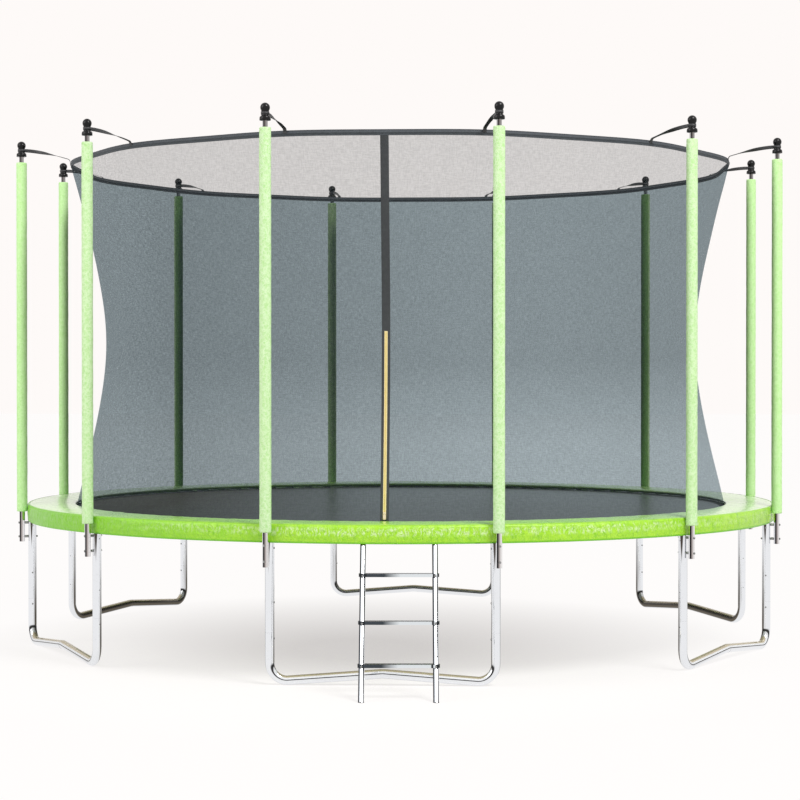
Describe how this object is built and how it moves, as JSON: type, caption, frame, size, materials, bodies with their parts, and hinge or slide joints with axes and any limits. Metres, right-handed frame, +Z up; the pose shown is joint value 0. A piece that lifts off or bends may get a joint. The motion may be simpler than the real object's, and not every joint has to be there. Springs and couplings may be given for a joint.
{
  "type": "trampoline",
  "caption": "Round garden trampoline with a waisted safety net on foam-wrapped poles, W-shaped legs, a padded spring cover with a skirt, a zipped entrance and a hook-on ladder.",
  "frame": {"origin": "on the floor, at the middle of the footprint of frame and ladder together; the ring's centre is 0.2215 m behind it (+Y)", "axes": "+Z up, -Y towards the ladder and the zipped entrance, +X to the right seen from the front"},
  "size_m": [4.277, 4.72, 2.807],
  "materials": {
    "frame_steel": "bright galvanised tube",
    "zinc_steel": "zinc plated",
    "ladder_steel": "bright galvanised tube",
    "step_steel": "bright pressed sheet",
    "foam_sleeve": "closed foam in a thin mottled pale green sleeve",
    "cap_plastic": "glossy black",
    "foot_plastic": "matt black",
    "mat_fabric": "black woven mat cloth",
    "cover_vinyl": "glossy lime vinyl over foam",
    "skirt_vinyl": "glossy crinkled lime vinyl",
    "net_fabric": "fine dark netting, partly see-through",
    "hem_webbing": "folded dark webbing",
    "rod_fibre": "black fibre rod",
    "strap_webbing": "black webbing",
    "placket_fabric": "dark woven band",
    "zip_tape": "yellow zip tape and chain",
    "zip_metal": "plated slider"
  },
  "bodies": {
    "frame": {"rail_pair_1": "frame_steel", "rail_pair_2": "frame_steel", "rail_pair_3": "frame_steel", "rail_pair_4": "frame_steel", "rail_pair_5": "frame_steel", "rail_pair_6": "frame_steel", "leg_base_1": "frame_steel", "leg_base_2": "frame_steel", "leg_base_3": "frame_steel", "leg_base_4": "frame_steel", "leg_base_5": "frame_steel", "leg_base_6": "frame_steel", "leg_uprights_1": "frame_steel", "leg_uprights_2": "frame_steel", "leg_uprights_3": "frame_steel", "leg_uprights_4": "frame_steel", "leg_uprights_5": "frame_steel", "leg_uprights_6": "frame_steel", "leg_sleeves": "zinc_steel", "leg_screws": "zinc_steel", "pole_pair_1": "frame_steel", "pole_pair_2": "frame_steel", "pole_pair_3": "frame_steel", "pole_pair_4": "frame_steel", "pole_pair_5": "frame_steel", "pole_pair_6": "frame_steel", "foam_pair_1": "foam_sleeve", "foam_pair_2": "foam_sleeve", "foam_pair_3": "foam_sleeve", "foam_pair_4": "foam_sleeve", "foam_pair_5": "foam_sleeve", "foam_pair_6": "foam_sleeve", "pole_caps": "cap_plastic", "pole_spacers": "zinc_steel", "pole_bolts": "zinc_steel", "springs": "zinc_steel", "spring_cover": "cover_vinyl", "cover_skirt": "skirt_vinyl", "skirt_flap": "skirt_vinyl", "net": "net_fabric", "net_hem": "hem_webbing", "hem_rods": "rod_fibre", "net_straps": "strap_webbing", "zip_placket": "placket_fabric", "zip_tape": "zip_tape"},
    "mat": {"mat": "mat_fabric", "mat_rings": "zinc_steel"},
    "ladder": {"ladder_rail_left": "ladder_steel", "ladder_rail_right": "ladder_steel", "ladder_step_1": "step_steel", "ladder_step_2": "step_steel", "ladder_step_3": "step_steel", "ladder_bolts": "zinc_steel", "ladder_feet": "foot_plastic"},
    "zip": {"zip_slider": "zip_metal", "zip_pull": "zip_metal"}
  },
  "joints": [
    {"name": "mat_bounce", "type": "slide", "parent": "frame", "child": "mat", "axis": [0, 0, 1], "range_m": [-0.35, 0], "stiffness_N_per_m": 5000, "springref_m": 0.03, "deforming": ["springs"]},
    {"name": "ladder_swing", "type": "hinge", "parent": "frame", "child": "ladder", "pos_m": [0.08266, -1.88237, 0.74], "axis": [-0.9992, -0.0393, 0], "range_deg": [0, 40], "deforming": ["skirt_flap"]},
    {"name": "zip_slide", "type": "hinge", "parent": "frame", "child": "zip", "pos_m": [0, -5.37046, 1.93852], "axis": [1, 0, 0], "range_deg": [0, 13.25]}
  ]
}
